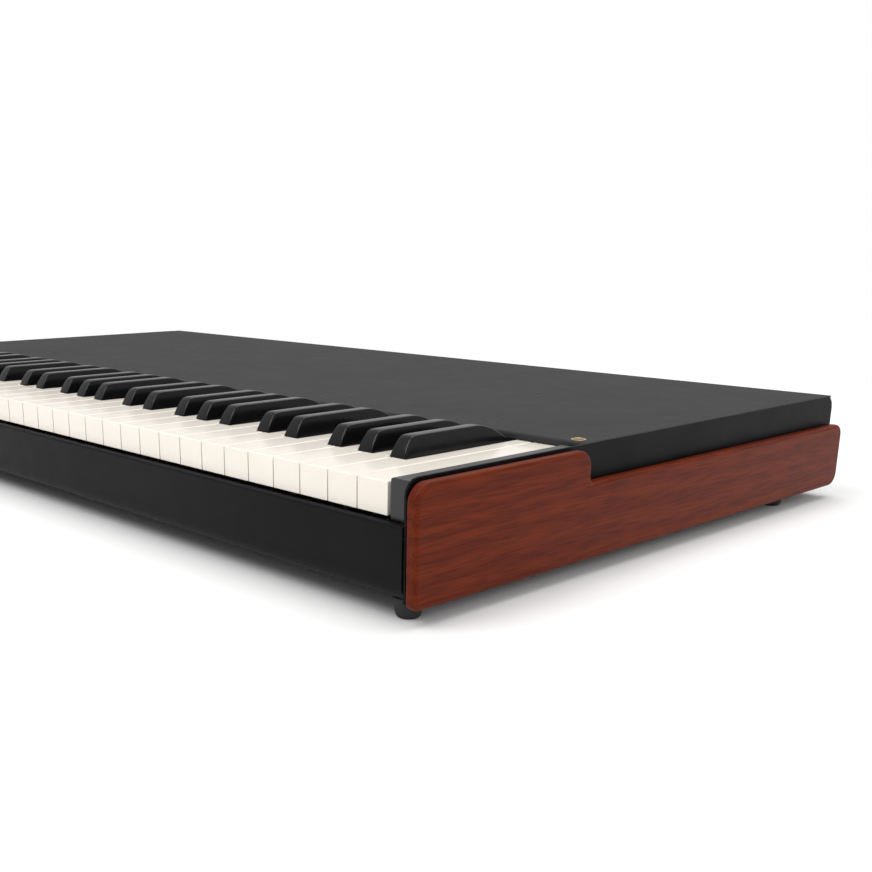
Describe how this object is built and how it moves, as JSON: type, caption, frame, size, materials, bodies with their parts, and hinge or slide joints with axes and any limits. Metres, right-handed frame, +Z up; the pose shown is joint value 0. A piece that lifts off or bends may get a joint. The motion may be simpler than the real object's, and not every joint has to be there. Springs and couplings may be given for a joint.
{
  "type": "musical keyboard manual",
  "caption": "Lower manual of an organ keyboard: square-fronted spring keys in a folded black steel case with a flat rear deck, stepped wooden cheeks and rubber feet.",
  "frame": {"origin": "on the table, under the middle of the case", "axes": "+X to the player's right along the keys, +Y to the back, +Z up"},
  "size_m": [0.8986, 0.468, 0.085],
  "materials": {
    "case_steel": "satin black",
    "cover_grey": "satin dark grey",
    "cheek_wood": "lacquered mahogany",
    "key_ivory": "gloss",
    "key_black": "gloss",
    "block_black": "satin",
    "foot_rubber": "matt",
    "chassis_zinc": "zinc plated",
    "stop_felt": "felt",
    "board_green": "solder resist",
    "socket_black": "moulded"
  },
  "bodies": {
    "root": {"bottom_pan": "case_steel", "front_rail": "case_steel", "rear_panel": "case_steel", "left_end_plate": "case_steel", "right_end_plate": "case_steel", "top_cover": "cover_grey", "left_wood_cheek": "cheek_wood", "right_wood_cheek": "cheek_wood", "left_key_block": "block_black", "right_key_block": "block_black", "foot_front_left": "foot_rubber", "foot_front_right": "foot_rubber", "foot_rear_left": "foot_rubber", "foot_rear_right": "foot_rubber", "key_chassis": "chassis_zinc", "key_hinge_rail": "chassis_zinc", "contact_board": "board_green", "down_stop_felt": "stop_felt", "controller_board": "board_green", "midi_socket": "socket_black", "usb_socket": "socket_black", "low_white_keys": "key_ivory", "low_black_keys": "key_black"},
    "key_C4": {"white_key_C4": "key_ivory"},
    "key_Cs4": {"black_key_Cs4": "key_black"},
    "key_D4": {"white_key_D4": "key_ivory"},
    "key_Ds4": {"black_key_Ds4": "key_black"},
    "key_E4": {"white_key_E4": "key_ivory"},
    "key_F4": {"white_key_F4": "key_ivory"},
    "key_Fs4": {"black_key_Fs4": "key_black"},
    "key_G4": {"white_key_G4": "key_ivory"},
    "key_Gs4": {"black_key_Gs4": "key_black"},
    "key_A4": {"white_key_A4": "key_ivory"},
    "key_As4": {"black_key_As4": "key_black"},
    "key_B4": {"white_key_B4": "key_ivory"},
    "key_C5": {"white_key_C5": "key_ivory"},
    "key_Cs5": {"black_key_Cs5": "key_black"},
    "key_D5": {"white_key_D5": "key_ivory"},
    "key_Ds5": {"black_key_Ds5": "key_black"},
    "key_E5": {"white_key_E5": "key_ivory"},
    "key_F5": {"white_key_F5": "key_ivory"},
    "key_Fs5": {"black_key_Fs5": "key_black"},
    "key_G5": {"white_key_G5": "key_ivory"},
    "key_Gs5": {"black_key_Gs5": "key_black"},
    "key_A5": {"white_key_A5": "key_ivory"},
    "key_As5": {"black_key_As5": "key_black"},
    "key_B5": {"white_key_B5": "key_ivory"},
    "key_C6": {"white_key_C6": "key_ivory"},
    "key_Cs6": {"black_key_Cs6": "key_black"},
    "key_D6": {"white_key_D6": "key_ivory"},
    "key_Ds6": {"black_key_Ds6": "key_black"},
    "key_E6": {"white_key_E6": "key_ivory"},
    "key_F6": {"white_key_F6": "key_ivory"},
    "key_Fs6": {"black_key_Fs6": "key_black"},
    "key_G6": {"white_key_G6": "key_ivory"},
    "key_Gs6": {"black_key_Gs6": "key_black"},
    "key_A6": {"white_key_A6": "key_ivory"},
    "key_As6": {"black_key_As6": "key_black"},
    "key_B6": {"white_key_B6": "key_ivory"},
    "key_C7": {"white_key_C7": "key_ivory"}
  },
  "joints": [
    {"name": "press_C4", "type": "hinge", "parent": "root", "child": "key_C4", "pos_m": [-0.08225, -0.023, 0.056], "axis": [1, 0, 0], "range_deg": [0, 2.75], "stiffness_Nm_per_rad": 1, "springref_deg": -6.88},
    {"name": "press_Cs4", "type": "hinge", "parent": "root", "child": "key_Cs4", "pos_m": [-0.07285, -0.023, 0.056], "axis": [1, 0, 0], "range_deg": [0, 2.75], "stiffness_Nm_per_rad": 1, "springref_deg": -6.88},
    {"name": "press_D4", "type": "hinge", "parent": "root", "child": "key_D4", "pos_m": [-0.05875, -0.023, 0.056], "axis": [1, 0, 0], "range_deg": [0, 2.75], "stiffness_Nm_per_rad": 1, "springref_deg": -6.88},
    {"name": "press_Ds4", "type": "hinge", "parent": "root", "child": "key_Ds4", "pos_m": [-0.04465, -0.023, 0.056], "axis": [1, 0, 0], "range_deg": [0, 2.75], "stiffness_Nm_per_rad": 1, "springref_deg": -6.88},
    {"name": "press_E4", "type": "hinge", "parent": "root", "child": "key_E4", "pos_m": [-0.03525, -0.023, 0.056], "axis": [1, 0, 0], "range_deg": [0, 2.75], "stiffness_Nm_per_rad": 1, "springref_deg": -6.88},
    {"name": "press_F4", "type": "hinge", "parent": "root", "child": "key_F4", "pos_m": [-0.01175, -0.023, 0.056], "axis": [1, 0, 0], "range_deg": [0, 2.75], "stiffness_Nm_per_rad": 1, "springref_deg": -6.88},
    {"name": "press_Fs4", "type": "hinge", "parent": "root", "child": "key_Fs4", "pos_m": [-0.00336, -0.023, 0.056], "axis": [1, 0, 0], "range_deg": [0, 2.75], "stiffness_Nm_per_rad": 1, "springref_deg": -6.88},
    {"name": "press_G4", "type": "hinge", "parent": "root", "child": "key_G4", "pos_m": [0.01175, -0.023, 0.056], "axis": [1, 0, 0], "range_deg": [0, 2.75], "stiffness_Nm_per_rad": 1, "springref_deg": -6.88},
    {"name": "press_Gs4", "type": "hinge", "parent": "root", "child": "key_Gs4", "pos_m": [0.0235, -0.023, 0.056], "axis": [1, 0, 0], "range_deg": [0, 2.75], "stiffness_Nm_per_rad": 1, "springref_deg": -6.88},
    {"name": "press_A4", "type": "hinge", "parent": "root", "child": "key_A4", "pos_m": [0.03525, -0.023, 0.056], "axis": [1, 0, 0], "range_deg": [0, 2.75], "stiffness_Nm_per_rad": 1, "springref_deg": -6.88},
    {"name": "press_As4", "type": "hinge", "parent": "root", "child": "key_As4", "pos_m": [0.05036, -0.023, 0.056], "axis": [1, 0, 0], "range_deg": [0, 2.75], "stiffness_Nm_per_rad": 1, "springref_deg": -6.88},
    {"name": "press_B4", "type": "hinge", "parent": "root", "child": "key_B4", "pos_m": [0.05875, -0.023, 0.056], "axis": [1, 0, 0], "range_deg": [0, 2.75], "stiffness_Nm_per_rad": 1, "springref_deg": -6.88},
    {"name": "press_C5", "type": "hinge", "parent": "root", "child": "key_C5", "pos_m": [0.08225, -0.023, 0.056], "axis": [1, 0, 0], "range_deg": [0, 2.75], "stiffness_Nm_per_rad": 1, "springref_deg": -6.88},
    {"name": "press_Cs5", "type": "hinge", "parent": "root", "child": "key_Cs5", "pos_m": [0.09165, -0.023, 0.056], "axis": [1, 0, 0], "range_deg": [0, 2.75], "stiffness_Nm_per_rad": 1, "springref_deg": -6.88},
    {"name": "press_D5", "type": "hinge", "parent": "root", "child": "key_D5", "pos_m": [0.10575, -0.023, 0.056], "axis": [1, 0, 0], "range_deg": [0, 2.75], "stiffness_Nm_per_rad": 1, "springref_deg": -6.88},
    {"name": "press_Ds5", "type": "hinge", "parent": "root", "child": "key_Ds5", "pos_m": [0.11985, -0.023, 0.056], "axis": [1, 0, 0], "range_deg": [0, 2.75], "stiffness_Nm_per_rad": 1, "springref_deg": -6.88},
    {"name": "press_E5", "type": "hinge", "parent": "root", "child": "key_E5", "pos_m": [0.12925, -0.023, 0.056], "axis": [1, 0, 0], "range_deg": [0, 2.75], "stiffness_Nm_per_rad": 1, "springref_deg": -6.88},
    {"name": "press_F5", "type": "hinge", "parent": "root", "child": "key_F5", "pos_m": [0.15275, -0.023, 0.056], "axis": [1, 0, 0], "range_deg": [0, 2.75], "stiffness_Nm_per_rad": 1, "springref_deg": -6.88},
    {"name": "press_Fs5", "type": "hinge", "parent": "root", "child": "key_Fs5", "pos_m": [0.16114, -0.023, 0.056], "axis": [1, 0, 0], "range_deg": [0, 2.75], "stiffness_Nm_per_rad": 1, "springref_deg": -6.88},
    {"name": "press_G5", "type": "hinge", "parent": "root", "child": "key_G5", "pos_m": [0.17625, -0.023, 0.056], "axis": [1, 0, 0], "range_deg": [0, 2.75], "stiffness_Nm_per_rad": 1, "springref_deg": -6.88},
    {"name": "press_Gs5", "type": "hinge", "parent": "root", "child": "key_Gs5", "pos_m": [0.188, -0.023, 0.056], "axis": [1, 0, 0], "range_deg": [0, 2.75], "stiffness_Nm_per_rad": 1, "springref_deg": -6.88},
    {"name": "press_A5", "type": "hinge", "parent": "root", "child": "key_A5", "pos_m": [0.19975, -0.023, 0.056], "axis": [1, 0, 0], "range_deg": [0, 2.75], "stiffness_Nm_per_rad": 1, "springref_deg": -6.88},
    {"name": "press_As5", "type": "hinge", "parent": "root", "child": "key_As5", "pos_m": [0.21486, -0.023, 0.056], "axis": [1, 0, 0], "range_deg": [0, 2.75], "stiffness_Nm_per_rad": 1, "springref_deg": -6.88},
    {"name": "press_B5", "type": "hinge", "parent": "root", "child": "key_B5", "pos_m": [0.22325, -0.023, 0.056], "axis": [1, 0, 0], "range_deg": [0, 2.75], "stiffness_Nm_per_rad": 1, "springref_deg": -6.88},
    {"name": "press_C6", "type": "hinge", "parent": "root", "child": "key_C6", "pos_m": [0.24675, -0.023, 0.056], "axis": [1, 0, 0], "range_deg": [0, 2.75], "stiffness_Nm_per_rad": 1, "springref_deg": -6.88},
    {"name": "press_Cs6", "type": "hinge", "parent": "root", "child": "key_Cs6", "pos_m": [0.25615, -0.023, 0.056], "axis": [1, 0, 0], "range_deg": [0, 2.75], "stiffness_Nm_per_rad": 1, "springref_deg": -6.88},
    {"name": "press_D6", "type": "hinge", "parent": "root", "child": "key_D6", "pos_m": [0.27025, -0.023, 0.056], "axis": [1, 0, 0], "range_deg": [0, 2.75], "stiffness_Nm_per_rad": 1, "springref_deg": -6.88},
    {"name": "press_Ds6", "type": "hinge", "parent": "root", "child": "key_Ds6", "pos_m": [0.28435, -0.023, 0.056], "axis": [1, 0, 0], "range_deg": [0, 2.75], "stiffness_Nm_per_rad": 1, "springref_deg": -6.88},
    {"name": "press_E6", "type": "hinge", "parent": "root", "child": "key_E6", "pos_m": [0.29375, -0.023, 0.056], "axis": [1, 0, 0], "range_deg": [0, 2.75], "stiffness_Nm_per_rad": 1, "springref_deg": -6.88},
    {"name": "press_F6", "type": "hinge", "parent": "root", "child": "key_F6", "pos_m": [0.31725, -0.023, 0.056], "axis": [1, 0, 0], "range_deg": [0, 2.75], "stiffness_Nm_per_rad": 1, "springref_deg": -6.88},
    {"name": "press_Fs6", "type": "hinge", "parent": "root", "child": "key_Fs6", "pos_m": [0.32564, -0.023, 0.056], "axis": [1, 0, 0], "range_deg": [0, 2.75], "stiffness_Nm_per_rad": 1, "springref_deg": -6.88},
    {"name": "press_G6", "type": "hinge", "parent": "root", "child": "key_G6", "pos_m": [0.34075, -0.023, 0.056], "axis": [1, 0, 0], "range_deg": [0, 2.75], "stiffness_Nm_per_rad": 1, "springref_deg": -6.88},
    {"name": "press_Gs6", "type": "hinge", "parent": "root", "child": "key_Gs6", "pos_m": [0.3525, -0.023, 0.056], "axis": [1, 0, 0], "range_deg": [0, 2.75], "stiffness_Nm_per_rad": 1, "springref_deg": -6.88},
    {"name": "press_A6", "type": "hinge", "parent": "root", "child": "key_A6", "pos_m": [0.36425, -0.023, 0.056], "axis": [1, 0, 0], "range_deg": [0, 2.75], "stiffness_Nm_per_rad": 1, "springref_deg": -6.88},
    {"name": "press_As6", "type": "hinge", "parent": "root", "child": "key_As6", "pos_m": [0.37936, -0.023, 0.056], "axis": [1, 0, 0], "range_deg": [0, 2.75], "stiffness_Nm_per_rad": 1, "springref_deg": -6.88},
    {"name": "press_B6", "type": "hinge", "parent": "root", "child": "key_B6", "pos_m": [0.38775, -0.023, 0.056], "axis": [1, 0, 0], "range_deg": [0, 2.75], "stiffness_Nm_per_rad": 1, "springref_deg": -6.88},
    {"name": "press_C7", "type": "hinge", "parent": "root", "child": "key_C7", "pos_m": [0.41125, -0.023, 0.056], "axis": [1, 0, 0], "range_deg": [0, 2.75], "stiffness_Nm_per_rad": 1, "springref_deg": -6.88}
  ]
}
